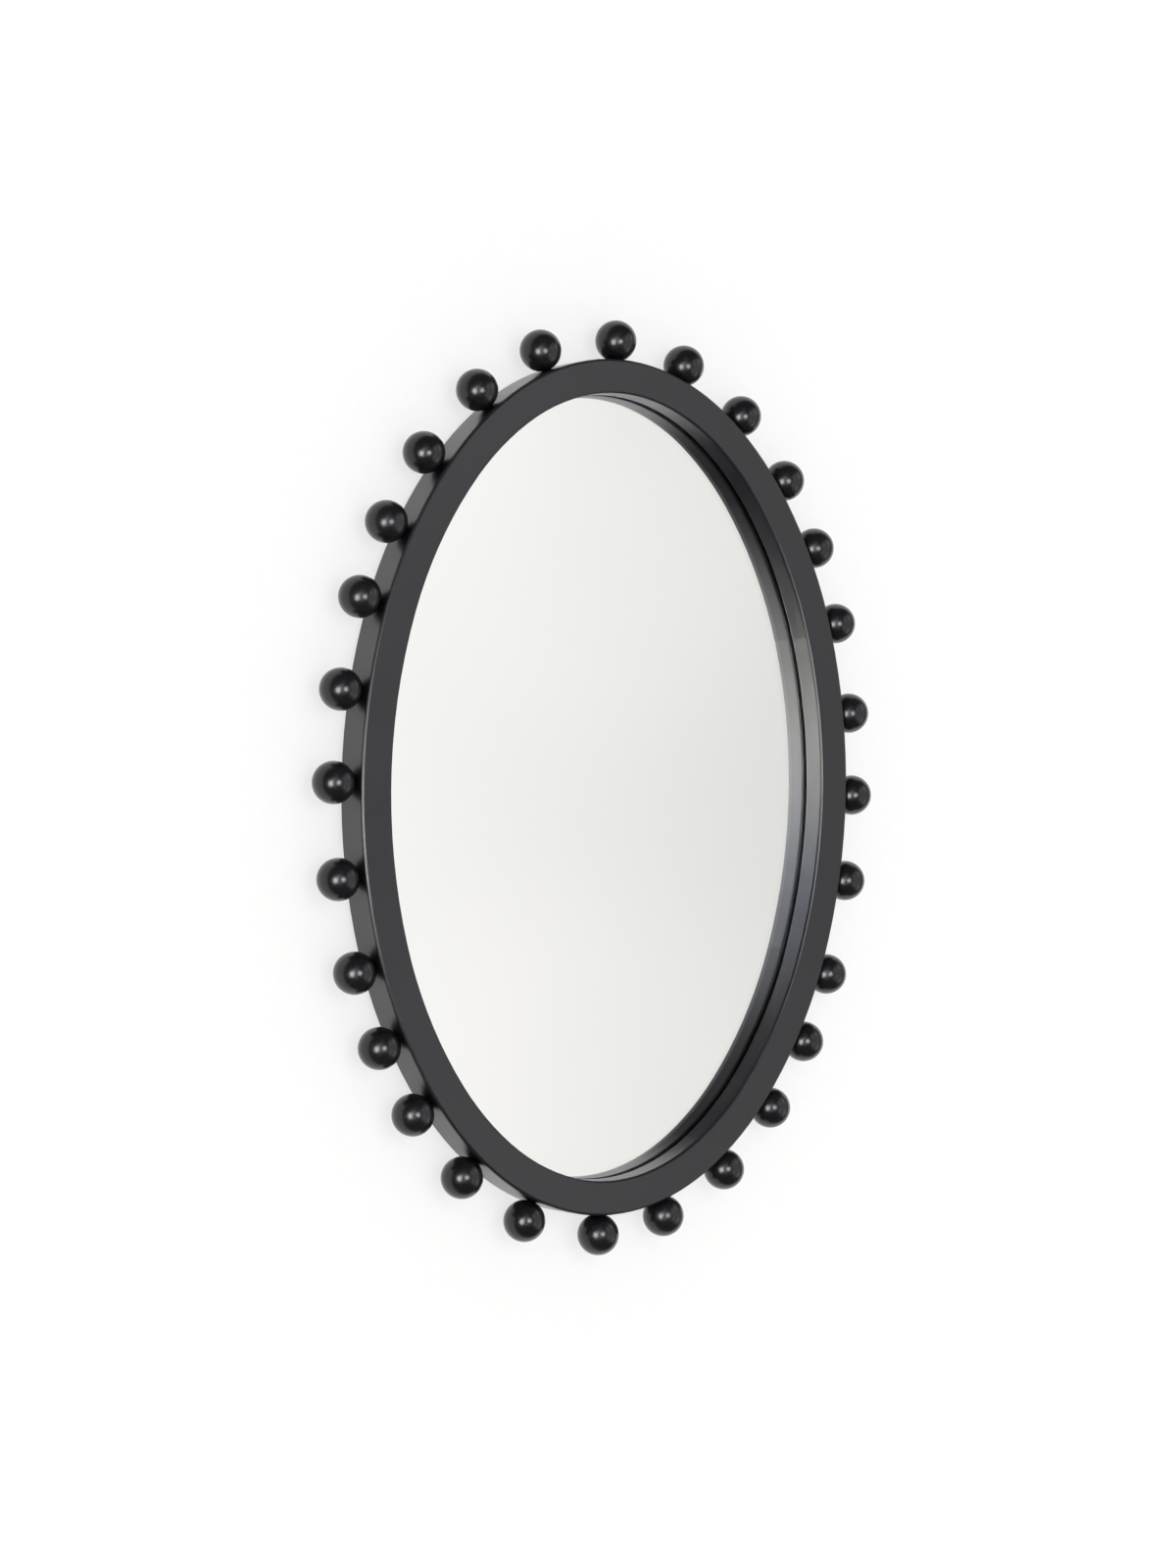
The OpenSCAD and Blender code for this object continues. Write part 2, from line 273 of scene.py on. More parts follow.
class LacquerSettings(bpy.types.PropertyGroup):
    """Colours and surface of the black lacquer."""
    board_colour: FloatVectorProperty(
        name="Board colour", description="Lacquer on the frame", size=4, min=0, max=1,
        subtype="COLOR", default=linear("#18191C"))
    ball_colour: FloatVectorProperty(
        name="Ball colour", description="Lacquer on the balls", size=4, min=0, max=1,
        subtype="COLOR", default=linear("#121315"))
    board_roughness: FloatProperty(
        name="Board roughness", description="Satin of the frame", min=0, max=1,
        subtype="FACTOR", default=0.29)
    ball_roughness: FloatProperty(
        name="Ball roughness", description="Satin of the balls", min=0, max=1,
        subtype="FACTOR", default=0.24)
    peel_width: FloatProperty(
        name="Orange peel width", description="From one crest of the sprayed film to the next",
        unit="LENGTH", precision=4, default=0.004)
    peel_height: FloatProperty(
        name="Orange peel height", description="Height of the sprayed film's unevenness",
        unit="LENGTH", precision=6, default=0.000006)
    swell_height: FloatProperty(
        name="Swell height", description="Height of the unevenness of the sanded ground",
        unit="LENGTH", precision=6, default=0.000024)
    wet_pass: FloatProperty(
        name="Wet pass", description="Less roughness where the gun's pass was wet",
        subtype="FACTOR", min=0, max=1, default=0.01)
    dry_pass: FloatProperty(
        name="Dry pass", description="More roughness where the gun's pass was dry",
        subtype="FACTOR", min=0, max=1, default=0.03)
    dry_tone: FloatProperty(
        name="Dry tone", description="Share of the colour that is left where the pass was dry",
        subtype="FACTOR", min=0, max=1, default=0.86)


class ScrewSettings(bpy.types.PropertyGroup):
    """The pan-head screws of the hangers. Head width and length come from the frame."""
    head_height: FloatProperty(
        name="Head height", description="From the strap to the top of the head",
        unit="LENGTH", precision=5, default=0.0022)
    head_edge: FloatProperty(
        name="Head edge", description="Height of the straight rim under the dome",
        unit="LENGTH", precision=5, default=0.0008)
    shank_width: FloatProperty(
        name="Shank width", description="Over the crests of the thread",
        unit="LENGTH", precision=5, default=0.0035)
    core_width: FloatProperty(
        name="Core width", description="Between the threads",
        unit="LENGTH", precision=5, default=0.0023)
    pitch: FloatProperty(
        name="Pitch", description="From one thread to the next",
        unit="LENGTH", precision=5, default=0.0013)
    point_length: FloatProperty(
        name="Point length", description="Tapered end of the shank",
        unit="LENGTH", precision=5, default=0.003)
    recess_length: FloatProperty(
        name="Recess length", description="From tip to tip of the cross",
        unit="LENGTH", precision=5, default=0.0042)
    recess_width: FloatProperty(
        name="Recess width", description="Width of a wing of the cross",
        unit="LENGTH", precision=5, default=0.0011)
    recess_depth: FloatProperty(
        name="Recess depth", description="From the top of the head to the floor of the cross",
        unit="LENGTH", precision=5, default=0.0014)
    recess_floor: FloatProperty(
        name="Recess floor", description="Size of the floor of the cross, as a share of its mouth",
        min=0, max=1, subtype="FACTOR", default=0.6)
    first_turn: FloatProperty(
        name="First turn", description="Where the first screw stopped when it was driven home",
        unit="ROTATION", default=math.radians(20))
    next_turn: FloatProperty(
        name="Next turn", description="How much further each next screw was turned",
        unit="ROTATION", default=math.radians(67))


class GlassSettings(bpy.types.PropertyGroup):
    """The mirror pane and its coating."""
    silver_depth: FloatProperty(
        name="Silver depth", description="Thickness of silver, copper and paint together",
        unit="LENGTH", precision=5, default=0.00008)
    silver_margin: FloatProperty(
        name="Silver margin", description="Bare strip round the edge of the pane's back",
        unit="LENGTH", precision=4, default=0.001)
    pane_inset: FloatProperty(
        name="Pane inset", description="From the frame's outer edge to the edge of the pane",
        unit="LENGTH", precision=4, default=0.025)


class StageSettings(bpy.types.PropertyGroup):
    """The studio: wall, floor and soft light."""
    wall_width: FloatProperty(
        name="Wall width", description="Width of the wall and of the floor",
        unit="LENGTH", default=14.0)
    wall_height: FloatProperty(
        name="Wall height", description="Height of the wall above the floor",
        unit="LENGTH", default=6.0)
    floor_drop: FloatProperty(
        name="Floor below the mirror", description="From the mirror's middle down to the floor",
        unit="LENGTH", default=1.45)
    # The wash lights in these settings are no lamps: the wall and the floor glow of themselves.
    wall_glow: FloatProperty(
        name="Wall glow", description="Share of the wall's white that comes from wash lights",
        min=0, max=1, subtype="FACTOR", default=0.755)
    bounce_glow: FloatProperty(
        name="Bounce glow", description="Wash light that only reflections of the wall add",
        min=0, max=1, subtype="FACTOR", default=0.22)
    floor_glow: FloatProperty(
        name="Floor glow", description="What the wash lights add to the floor",
        min=0, max=1, subtype="FACTOR", default=0.35)
    # Painted shade: beside the mirror the wall's glow is drawn weaker, in an oval that fades out,
    # so the wall looks shaded there.
    painted_shade_depth: FloatProperty(
        name="Shade depth", description="How much less the wash lights give beside the mirror",
        min=0, max=1, subtype="FACTOR", default=0.045)
    painted_shade_size: FloatVectorProperty(
        name="Shade size", description="Half width and half height of that shade", size=2,
        unit="LENGTH", default=(0.325, 0.45))
    painted_shade_end: FloatProperty(
        name="Shade end", description="Where the shade has faded out, in shade sizes",
        min=1, default=1.5)
    screen_power: FloatProperty(
        name="Screen power", description="Strength of the screen that the mirror shows",
        min=0, default=1.055)


class CameraSettings(bpy.types.PropertyGroup):
    """Where the photograph was taken from."""
    distance: FloatProperty(
        name="Distance", description="From the lens to the middle of the frame's back",
        unit="LENGTH", default=3.4114)
    azimuth: FloatProperty(
        name="Azimuth", description="Turn round the mirror, positive towards +X",
        unit="ROTATION", default=math.radians(-35.03))
    elevation: FloatProperty(
        name="Elevation", description="Height of the lens above the horizon",
        unit="ROTATION", default=math.radians(-1.29))
    yaw: FloatProperty(
        name="Yaw", description="Turn of the view to the right of the aim",
        unit="ROTATION", default=math.radians(-0.10))
    pitch: FloatProperty(
        name="Pitch", description="Turn of the view above the aim",
        unit="ROTATION", default=math.radians(0.04))
    roll: FloatProperty(
        name="Roll", description="Tilt of the camera about its view",
        unit="ROTATION", default=math.radians(1.31))
    focal_length: FloatProperty(
        name="Focal length", description="For a sensor with a long side of 36 mm",
        unit="CAMERA", default=80.91)


# Finishes

def sprayed_lacquer(name, colour, roughness, ior, settings):
    """Satin lacquer, sprayed and left unpolished: near black, with broad soft reflections that
    waver a little, because the film dries with a faint orange peel."""
    made, tree, output = new_material(name)
    place = add_node(tree, "TexCoord").outputs["Object"]
    peel = add_node(tree, "TexNoise", {"Vector": place, "Scale": 1 / settings.peel_width,
                                       "Detail": 2.0, "Roughness": 0.45})
    # The sanded ground under the film swells over some 36 mm.
    swell = add_node(tree, "TexNoise", {"Vector": place, "Scale": per_metre(35.71), "Detail": 1.0})
    peel_height = add_node(tree, "Math", {0: peel.outputs[0], 1: settings.peel_height},
                           operation="MULTIPLY")
    height = add_node(tree, "Math", {0: swell.outputs[0], 1: settings.swell_height,
                                     2: peel_height.outputs[0]}, operation="MULTIPLY_ADD")
    bump = add_node(tree, "Bump", {"Height": height.outputs[0], "Distance": 1.0,
                                   "Strength": 1.0})
    # Dry and wet passes of the gun: patches some 60 mm wide that shine a little more or less.
    # No lacquer's roughness crosses 0.274, where the denoiser would draw a ring on the surface.
    haze = add_node(tree, "TexNoise", {"Vector": place, "Scale": per_metre(62.5),
                                       "Detail": 3.0})
    satin = add_node(tree, "MapRange", {"Value": haze.outputs[0], 1: LOW, 2: HIGH,
                                        3: roughness - settings.wet_pass,
                                        4: roughness + settings.dry_pass})
    darker = tuple(settings.dry_tone * c for c in colour[:3]) + (1.0,)
    tone = add_node(tree, "ValToRGB", {"Fac": haze.outputs[0]},
                    stops=((0.35, darker), (0.65, tuple(colour))))
    shader = add_node(tree, "BsdfPrincipled", {
        "Base Color": tone.outputs["Color"], "Roughness": satin.outputs[0],
        "Normal": bump.outputs[0], "IOR": ior})
    tree.links.new(shader.outputs[0], output.inputs["Surface"])
    return made


def float_glass():
    """Clear float glass with ground edges: sharp and faintly green, frosted where the edge and
    its arris were ground."""
    made, tree, output = new_material("clear_float_glass_ground_edge")
    coords = add_node(tree, "TexCoord")
    axes = add_node(tree, "SeparateXYZ", {0: coords.outputs["Normal"]})
    facing = add_node(tree, "Math", {0: axes.outputs["Y"]}, operation="ABSOLUTE")
    # What turns 25 degrees or more from the pane's face is ground, what turns 8 or less isn't.
    ground = math.cos(math.radians(25))
    polished = math.cos(math.radians(8))
    frost = add_node(tree, "MapRange", {"Value": facing.outputs[0], 1: ground, 2: polished,
                                        3: 0.5, 4: 0.0})
    # The melt's streaks are some 330 mm wide.
    streaks = add_node(tree, "TexNoise", {"Vector": coords.outputs["Object"],
                                          "Scale": per_metre(333.3)})
    tint = add_node(tree, "ValToRGB", {"Fac": streaks.outputs[0]},
                    stops=((LOW, "#FAFDFB"), (HIGH, "#FCFEFD")))
    shader = add_node(tree, "BsdfPrincipled", {
        "Base Color": tint.outputs["Color"], "Roughness": frost.outputs[0],
        "Transmission Weight": 1.0, "IOR": 1.52})
    tree.links.new(shader.outputs[0], output.inputs["Surface"])
    return made


def silver_coating():
    """Wet-chemical silver on the back of the glass, under copper and paint: a clean mirror."""
    made, tree, output = new_material("wet_silvered_coating")
    place = add_node(tree, "TexCoord").outputs["Object"]
    # The spray bar leaves the silver a little thicker here and there, over some 500 mm.
    clouds = add_node(tree, "TexNoise", {"Vector": place, "Scale": per_metre(500),
                                         "Detail": 1.0})
    tone = add_node(tree, "ValToRGB", {"Fac": clouds.outputs[0]},
                    stops=((LOW, "#FBFAFB"), (HIGH, "#FDFBFC")))
    shader = add_node(tree, "BsdfPrincipled", {
        "Base Color": tone.outputs["Color"], "Metallic": 1.0, "Roughness": 0.0})
    tree.links.new(shader.outputs[0], output.inputs["Surface"])
    return made


def raw_hardboard():
    """Hardboard pressed on a wire screen: brown, dull, with darker fibre bundles and the print
    of the screen on its rough side."""
    made, tree, output = new_material("pressed_hardboard_screen_back")
    place = add_node(tree, "TexCoord").outputs["Object"]
    # Fibre bundles 1 to 3 mm long.
    fibres = add_node(tree, "TexNoise", {"Vector": place, "Scale": per_metre(2.381),
                                         "Detail": 6.0, "Roughness": 0.7})
    # The mat was laid a little thicker here and there, over some 140 mm.
    thick = add_node(tree, "TexNoise", {"Vector": place, "Scale": per_metre(142.9),
                                        "Detail": 2.0})
    thick_share = 0.25
    patches = add_node(tree, "Math", {0: thick.outputs[0], 1: thick_share},
                       operation="MULTIPLY")
    blend = add_node(tree, "Math", {0: fibres.outputs[0], 1: 1 - thick_share,
                                    2: patches.outputs[0]}, operation="MULTIPLY_ADD")
    tone = add_node(tree, "ValToRGB", {"Fac": blend.outputs[0]},
                    stops=((0.36, "#4F3726"), (0.5, "#6F5037"), (0.64, "#8A6848")))
    # The screen's real pitch of about 1.2 mm is drawn at 3 mm, or it would not show. A wave
    # texture of scale 1 has a band every pi / 10 metres.
    pitch = 2.992 * MILLIMETRE
    weave = [add_node(tree, "TexWave", {"Vector": place, "Scale": math.pi / 10 / pitch,
                                        "Distortion": 0.4},
                      wave_type="BANDS", bands_direction=axis).outputs["Fac"]
             for axis in ("X", "Z")]
    screen = add_node(tree, "Math", {0: weave[0], 1: weave[1]}, operation="MULTIPLY")
    relief = add_node(tree, "Math", {0: fibres.outputs[0], 1: 0.5, 2: screen.outputs[0]},
                      operation="MULTIPLY_ADD")
    bump = add_node(tree, "Bump", {"Height": relief.outputs[0], "Strength": 0.6,
                                   "Distance": 0.15 * MILLIMETRE})
    shader = add_node(tree, "BsdfPrincipled", {
        "Base Color": tone.outputs["Color"], "Roughness": 0.85, "IOR": 1.45,
        "Normal": bump.outputs[0]})
    tree.links.new(shader.outputs[0], output.inputs["Surface"])
    return made


def zinc_plated_steel():
    """Barrel-plated zinc on pressed steel, passivated: bright grey with a blue and straw cast
    that changes over a few millimetres, and fine tumbling scratches."""
    made, tree, output = new_material("zinc_plated_pressed_steel")
    place = add_node(tree, "TexCoord").outputs["Object"]
    cast = add_node(tree, "TexNoise", {"Vector": place, "Scale": per_metre(7.143),
                                       "Detail": 3.0})
    tone = add_node(tree, "ValToRGB", {"Fac": cast.outputs[0]},
                    stops=((LOW, "#AEB4BC"), (0.5, "#BFC0BF"), (HIGH, "#C8C2B0")))
    # The scratches of some 0.2 mm are drawn at 0.67 mm, or they would not show.
    scratches = add_node(tree, "TexNoise", {"Vector": place, "Scale": per_metre(0.6667),
                                            "Detail": 4.0, "Distortion": 1.5})
    bright = 0.22
    dull = 0.42
    satin = add_node(tree, "MapRange", {"Value": scratches.outputs[0], 1: 0.35, 2: 0.65,
                                        3: bright, 4: dull})
    bump = add_node(tree, "Bump", {"Height": scratches.outputs[0], "Strength": 0.15,
                                   "Distance": 0.05 * MILLIMETRE})
    shader = add_node(tree, "BsdfPrincipled", {
        "Base Color": tone.outputs["Color"], "Metallic": 1.0, "Roughness": satin.outputs[0],
        "Normal": bump.outputs[0]})
    tree.links.new(shader.outputs[0], output.inputs["Surface"])
    return made


def moulded_rubber():
    """Black rubber from a spark-eroded mould: dull, with an even fine grain."""
    made, tree, output = new_material("moulded_black_rubber")
    place = add_node(tree, "TexCoord").outputs["Object"]
    # The grain of about 0.15 mm is drawn at 0.6 mm, or it would not show.
    grain = add_node(tree, "TexVoronoi", {"Vector": place, "Scale": per_metre(0.625)})
    tone = add_node(tree, "ValToRGB", {"Fac": grain.outputs["Distance"]},
                    stops=((0.1, "#242424"), (0.8, "#2E2E2D")))
    bump = add_node(tree, "Bump", {"Height": grain.outputs["Distance"], "Strength": 0.4,
                                   "Distance": 0.05 * MILLIMETRE})
    shader = add_node(tree, "BsdfPrincipled", {
        "Base Color": tone.outputs["Color"], "Roughness": 0.7, "IOR": 1.52,
        "Normal": bump.outputs[0]})
    tree.links.new(shader.outputs[0], output.inputs["Surface"])
    return made


def turned_beech():
    """Raw beech dowel rod: pale pinkish brown with short dark flecks along the grain."""
    made, tree, output = new_material("turned_beech_raw")
    place = add_node(tree, "TexCoord").outputs["Object"]
    # The flecks are some 3 mm long.
    grain = add_node(tree, "TexNoise", {"Vector": place, "Scale": per_metre(3.333),
                                        "Detail": 5.0, "Distortion": 0.6})
    tone = add_node(tree, "ValToRGB", {"Fac": grain.outputs[0]},
                    stops=((LOW, "#A9805A"), (HIGH, "#CDA77F")))
    shader = add_node(tree, "BsdfPrincipled", {
        "Base Color": tone.outputs["Color"], "Roughness": 0.6, "IOR": 1.5})
    tree.links.new(shader.outputs[0], output.inputs["Surface"])
    return made


# Pieces

class MIRROR_OT_rings(bpy.types.Operator):
    """Lacquer the face ring and the back ring"""
    bl_idname = "oval_mirror.rings"
    bl_label = "Frame rings"

    def execute(self, context):
        settings = context.scene.mirror_lacquer
        finish_nodes(("face_ring", "back_ring"),
                     sprayed_lacquer("satin_black_lacquer_on_board", settings.board_colour,
                                     settings.board_roughness, BOARD_LACQUER_IOR, settings))
        return {"FINISHED"}


class MIRROR_OT_balls(bpy.types.Operator):
    """Lacquer the turned balls and leave their dowels raw"""
    bl_idname = "oval_mirror.balls"
    bl_label = "Balls and dowels"

    def execute(self, context):
        settings = context.scene.mirror_lacquer
        names = [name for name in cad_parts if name.startswith("ball_")]
        names.remove("ball_dowels")
        finish_nodes(names, sprayed_lacquer("satin_black_lacquer_on_turned_beech",
                                            settings.ball_colour, settings.ball_roughness,
                                            BALL_LACQUER_IOR, settings))
        finish_nodes(["ball_dowels"], turned_beech())
        return {"FINISHED"}


class MIRROR_OT_pane(bpy.types.Operator):
    """Give the pane its glass and lay the silver on its back"""
    bl_idname = "oval_mirror.pane"
    bl_label = "Mirror pane"

    def execute(self, context):
        settings = context.scene.mirror_glass
        finish_nodes(["mirror_glass"], float_glass())
        outline = oval(settings.pane_inset + settings.silver_margin)
        glass_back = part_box("mirror_glass")[1].y

        def build(shape):
            back, front = [[shape.verts.new((x, y, z)) for x, z in outline]
                           for y in (glass_back, glass_back - settings.silver_depth)]
            shape.faces.new(back)
            shape.faces.new(front)
            for k in range(len(outline)):
                following = (k + 1) % len(outline)
                shape.faces.new((back[k], back[following], front[following], front[k]))

        silver = new_object("mirror_silver", mesh_from("mirror_silver", build),
                            silver_coating(), "frame")
        return {"FINISHED"}


class MIRROR_OT_backing(bpy.types.Operator):
    """Finish the backing board"""
    bl_idname = "oval_mirror.backing"
    bl_label = "Backing board"

    def execute(self, context):
        finish_nodes(["backing_board"], raw_hardboard())
        return {"FINISHED"}


def turned_screw(shape, low, high, turn, size):
    """A pan-head screw with a cross recess and a cut thread, its head towards +Y. The corners
    are those of the plain screw in the frame."""
    axis_x = (low.x + high.x) / 2
    axis_z = (low.z + high.z) / 2
    head_radius = (high.x - low.x) / 2
    length = high.y - low.y
    dome = size.head_height - size.head_edge
    dome_radius = (head_radius ** 2 + dome ** 2) / (2 * dome)
    crest = size.shank_width / 2
    core = size.core_width / 2
    half_length = size.recess_length / 2
    half_width = size.recess_width / 2
    # Directions round the axis: the same on each wing of the cross, with its corners met.
    corner = math.atan2(half_width, half_length)
    beside = [math.radians(a) for a in BESIDE_WING]
    wing = [-a for a in reversed(beside)] + [-corner, 0.0, corner] + beside[:-1]
    turns = [quarter * math.pi / 2 + a for quarter in range(4) for a in wing]

    def drop(radius):
        return dome_radius - math.sqrt(dome_radius ** 2 - radius ** 2)

    def ring(reach, depth):
        """One loop of vertices. Reach and depth are lengths or functions of the direction."""
        loop = []
        for a in turns:
            r = reach(a) if callable(reach) else reach
            t = depth(r) if callable(depth) else depth
            loop.append(shape.verts.new((axis_x + r * math.cos(a + turn), high.y - t,
                                         axis_z + r * math.sin(a + turn))))
        return loop

    def thread(depth):
        """Radius of the shank at a depth, by direction: a helical ridge that tapers off."""
        taper = min(1.0, (length - depth) / size.point_length)

        def reach(a):
            phase = ((depth - size.head_height) / size.pitch - a / (2 * math.pi)) % 1.0
            ridge = max(0.0, 1 - abs(phase - 0.5) / RIDGE_FOOT)
            return max(BLUNT_END * core, taper * (core + (crest - core) * ridge))
        return reach

    floor = size.recess_floor
    rings = [ring(lambda a: cross_reach(a, floor * half_length, floor * half_width),
                  size.recess_depth),
             ring(lambda a: cross_reach(a, half_length, half_width), drop)]
    rings += [ring(share * head_radius, drop) for share in HEAD_LOOPS]
    rings.append(ring(head_radius, size.head_height))
    shank = length - size.head_height
    rings += [ring(thread(depth), depth) for depth in (
        size.head_height + shank * k / SHANK_LOOPS for k in range(SHANK_LOOPS))]
    for upper, lower in zip(rings, rings[1:]):
        for k in range(len(turns)):
            following = (k + 1) % len(turns)
            shape.faces.new((upper[k], upper[following], lower[following], lower[k]))
    for loop, depth in ((rings[0], RECESS_MIDDLE * size.recess_depth), (rings[-1], length)):
        tip = shape.verts.new((axis_x, high.y - depth, axis_z))
        for k in range(len(turns)):
            shape.faces.new((loop[k], loop[(k + 1) % len(turns)], tip))


class MIRROR_OT_hardware(bpy.types.Operator):
    """Finish the steel points, straps and rings, and turn the screws"""
    bl_idname = "oval_mirror.hardware"
    bl_label = "Steel hardware"

    def execute(self, context):
        steel = zinc_plated_steel()
        finish_nodes(["glazing_points", "hanger_strap_left", "hanger_strap_right",
                      "hanger_ring_left", "hanger_ring_right"], steel)
        plain = parts_of(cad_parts["hanger_screws"])
        size = context.scene.mirror_screws

        def build(shape):
            for k, (low, high) in enumerate(plain):
                turned_screw(shape, low, high, size.first_turn + k * size.next_turn, size)

        screws = new_object("hanger_screws_threaded",
                            mesh_from("hanger_screws_threaded", build), steel, "frame")
        screws.data.set_sharp_from_angle(angle=math.radians(30))
        for face in screws.data.polygons:
            face.use_smooth = True
        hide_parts("hanger_screws")
        return {"FINISHED"}


class MIRROR_OT_bumpers(bpy.types.Operator):
    """Finish the rubber bumpers"""
    bl_idname = "oval_mirror.bumpers"
    bl_label = "Bumpers"

    def execute(self, context):
        names = [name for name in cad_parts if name.startswith("bumper_")]
        finish_nodes(names, moulded_rubber())
        for name in names:
            soften(name, width=0.8 * MILLIMETRE)
        return {"FINISHED"}


# Studio

def direct_look(tree, depth):
    """1 for a ray that went from the camera into the pane, off the silver and out again, so
    that the mirror itself shows nothing but the plain part of the studio."""
    path = add_node(tree, "LightPath")
    early = add_node(tree, "Math", {0: path.outputs["Ray Depth"], 1: depth + 0.5},
                     operation="LESS_THAN")
    return add_node(tree, "Math", {0: early.outputs[0],
                                   1: path.outputs["Is Transmission Ray"]},
                    operation="MULTIPLY").outputs[0]


def wall_paint(settings):
    """Matt white wall paint that glows of itself, seen through from behind. Most of the white
    comes from this glow, so that the mirror's own shadow stays faint, and the paint is darker by
    as much. Beside the mirror the glow is drawn weaker, a painted shade, which the camera sees and
    reflections don't."""
    made, tree, output = new_material("matt_white_wall_paint")
    place = add_node(tree, "TexCoord").outputs["Object"]
    # The roller's stipple of some 2 mm is drawn at 17 mm, or it would not show.
    stipple = add_node(tree, "TexNoise", {"Vector": place, "Scale": per_metre(16.67),
                                          "Detail": 4.0})
    tone = add_node(tree, "ValToRGB", {"Fac": stipple.outputs[0]},
                    stops=((LOW, "#858585"), (HIGH, "#888887")))
    paint = add_node(tree, "BsdfDiffuse", {"Color": tone.outputs["Color"]})
    # Painted shade: an oval round the mirror where the glow is weaker by the shade depth, fading
    # out by the shade end.
    width, height = settings.painted_shade_size
    reach = add_node(tree, "VectorMath", {0: place, 1: (1 / width, 0, 1 / height)},
                     operation="MULTIPLY")
    radius = add_node(tree, "VectorMath", {0: reach.outputs[0]}, operation="LENGTH")
    painted_shade = add_node(tree, "MapRange", {"Value": radius.outputs["Value"],
                                         1: 1.0, 2: settings.painted_shade_end,
                                         3: settings.wall_glow - settings.painted_shade_depth,
                                         4: settings.wall_glow})
    # The camera sees the glow with its painted shade, reflections an even glow, brighter by the
    # bounce glow.
    seen = add_node(tree, "LightPath").outputs["Is Camera Ray"]
    wash = add_node(tree, "MapRange", {"Value": seen,
                                       3: settings.wall_glow + settings.bounce_glow,
                                       4: painted_shade.outputs[0]})
    glow = add_node(tree, "Emission", {"Color": linear("#FFFFFF"),
                                       "Strength": wash.outputs[0]})
    washed = add_node(tree, "AddShader", {0: paint.outputs[0], 1: glow.outputs[0]})
    clear = add_node(tree, "BsdfTransparent")
    behind = add_node(tree, "NewGeometry").outputs["Backfacing"]
    shown = add_node(tree, "MixShader", {0: behind, 1: washed.outputs[0],
                                         2: clear.outputs[0]})
    tree.links.new(shown.outputs[0], output.inputs["Surface"])
    return made


def floor_paint(settings):
    """Pale matt studio floor, rolled on: even, with faint clouds some 670 mm wide."""
    made, tree, output = new_material("pale_studio_floor")
    place = add_node(tree, "TexCoord").outputs["Object"]
    cloud = add_node(tree, "TexNoise", {"Vector": place, "Scale": per_metre(666.7),
                                        "Detail": 3.0})
    tone = add_node(tree, "ValToRGB", {"Fac": cloud.outputs[0]},
                    stops=((LOW, "#E4E3E1"), (HIGH, "#E8E7E5")))
    paint = add_node(tree, "BsdfDiffuse", {"Color": tone.outputs["Color"]})
    glow = add_node(tree, "Emission", {"Color": linear("#FFFFFF"),
                                       "Strength": settings.floor_glow})
    washed = add_node(tree, "AddShader", {0: paint.outputs[0], 1: glow.outputs[0]})
    tree.links.new(washed.outputs[0], output.inputs["Surface"])
    return made


def sheet(name, width, depth, level=0.0):
    """A level rectangle round the origin, seen from above."""
    corners = ((-0.5, -0.5), (0.5, -0.5), (0.5, 0.5), (-0.5, 0.5))
    mesh = bpy.data.meshes.new(name)
    mesh.from_pydata([(x * width, y * depth, level) for x, y in corners], [], [(0, 1, 2, 3)])
    return mesh


def soft_card(name, place, width, height, strength, colour="#FFFFFF", edge=0.5):
    """A softbox or reflector, aimed at the mirror's middle, that only reflections see. It
    lights one way, fades over its outer share, adds to what is behind it and doesn't show in
    the camera or in the mirror's own picture."""
    made, tree, output = new_material(name + "_diffuser")
    coords = add_node(tree, "TexCoord")
    axes = add_node(tree, "SeparateXYZ", {0: coords.outputs["Object"]})
    across = [add_node(tree, "Math", {0: axes.outputs[axis], 1: 2 / size},
                       operation="MULTIPLY").outputs[0]
              for axis, size in (("X", width), ("Y", height))]
    reach = add_node(tree, "CombineXYZ", {0: across[0], 1: across[1]})
    radius = add_node(tree, "VectorMath", {0: reach.outputs[0]}, operation="LENGTH")
    fade = add_node(tree, "MapRange", {"Value": radius.outputs["Value"], 1: 1 - edge, 2: 1.0,
                                       3: strength, 4: 0.0}, interpolation_type="SMOOTHSTEP")
    hidden = add_node(tree, "Math", {
        0: direct_look(tree, LOOK_DEPTH), 1: add_node(tree, "NewGeometry").outputs["Backfacing"]},
        operation="MAXIMUM")
    power = add_node(tree, "MapRange", {"Value": hidden.outputs[0], 3: fade.outputs[0], 4: 0.0})
    glow = add_node(tree, "Emission", {"Color": linear(colour), "Strength": power.outputs[0]})
    clear = add_node(tree, "BsdfTransparent")
    shown = add_node(tree, "AddShader", {0: glow.outputs[0], 1: clear.outputs[0]})
    tree.links.new(shown.outputs[0], output.inputs["Surface"])

    card = new_object(name, sheet(name, width, height), made)
    facing = (-Vector(place)).to_track_quat("Z", "Y")
    card.matrix_world = Matrix.Translation(place) @ facing.to_matrix().to_4x4()
    card.visible_camera = card.visible_diffuse = card.visible_shadow = False


def area_light(name, place, size, power):
    """A soft light, aimed at the mirror's middle, that the camera and rays through glass don't
    see.
    """
    data = bpy.data.lights.new(name, "AREA")
    data.shape = "SQUARE"
    data.size = size
    data.energy = power
    lamp = bpy.data.objects.new(name, data)
    bpy.context.scene.collection.objects.link(lamp)
    lamp.location = place
    lamp.rotation_euler = (-Vector(place)).to_track_quat("-Z", "Y").to_euler()
    lamp.visible_camera = lamp.visible_transmission = False
    return lamp


